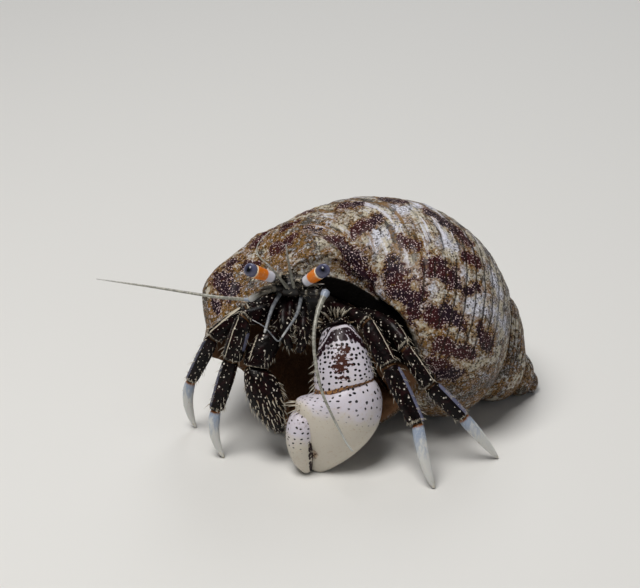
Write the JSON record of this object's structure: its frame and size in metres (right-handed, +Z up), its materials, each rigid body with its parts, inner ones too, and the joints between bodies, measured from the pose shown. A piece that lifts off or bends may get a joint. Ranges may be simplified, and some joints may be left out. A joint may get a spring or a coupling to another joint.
{
  "type": "hermit crab",
  "caption": "Life-size still model of a hermit crab carrying a turban shell, standing on its walking legs and large claw, for display or set dressing.",
  "frame": {"origin": "on the floor, under the middle of the whole model's box", "axes": "+X to the crab's left, where the spire points; -Y the way the crab looks; +Z up from the floor"},
  "size_m": [0.0648, 0.0436, 0.0327],
  "materials": {
    "shell": "chalky turban shell with a dull sheen, cream mottled with brown and maroon",
    "soft_body": "soft moist skin, brown",
    "eyestalk": "glossy cuticle banded orange, white and dark",
    "cornea": "wet blue-violet cornea",
    "feeler": "thin pale greenish feeler",
    "pale_tip": "smooth bluish-white cuticle",
    "big_claw": "polished ivory cuticle with dark dots",
    "dark_cuticle": "nearly black maroon cuticle with small white dots"
  },
  "bodies": {
    "root": {"shell": "shell", "abdomen": "soft_body", "thorax": "dark_cuticle", "head": "dark_cuticle", "eyestalk_right": "eyestalk", "eyestalk_left": "eyestalk", "eye_right": "cornea", "eye_left": "cornea", "antenna_right_base": "feeler", "antenna_left_base": "feeler", "antenna_right_flagellum_1": "feeler", "antenna_right_flagellum_2": "feeler", "antenna_left_flagellum_1": "feeler", "antenna_left_flagellum_2": "feeler", "antennule_right": "feeler", "antennule_left": "feeler", "exopod_right": "pale_tip", "exopod_left": "pale_tip", "maxilliped_right": "dark_cuticle", "maxilliped_left": "dark_cuticle", "claw_left_merus": "dark_cuticle", "claw_left_carpus": "big_claw", "claw_left_palm": "big_claw", "claw_left_finger": "big_claw", "claw_right_merus": "dark_cuticle", "claw_right_carpus": "dark_cuticle", "claw_right_palm": "dark_cuticle", "claw_right_finger": "dark_cuticle", "leg_right_2_merus": "dark_cuticle", "leg_right_2_carpus": "dark_cuticle", "leg_right_2_propodus": "dark_cuticle", "leg_right_2_dactyl": "pale_tip", "leg_right_1_merus": "dark_cuticle", "leg_right_1_carpus": "dark_cuticle", "leg_right_1_propodus": "dark_cuticle", "leg_right_1_dactyl": "pale_tip", "leg_left_1_merus": "dark_cuticle", "leg_left_1_carpus": "dark_cuticle", "leg_left_1_propodus": "dark_cuticle", "leg_left_1_dactyl": "pale_tip", "leg_left_2_merus": "dark_cuticle", "leg_left_2_carpus": "dark_cuticle", "leg_left_2_propodus": "dark_cuticle", "leg_left_2_dactyl": "pale_tip"}
  },
  "joints": []
}
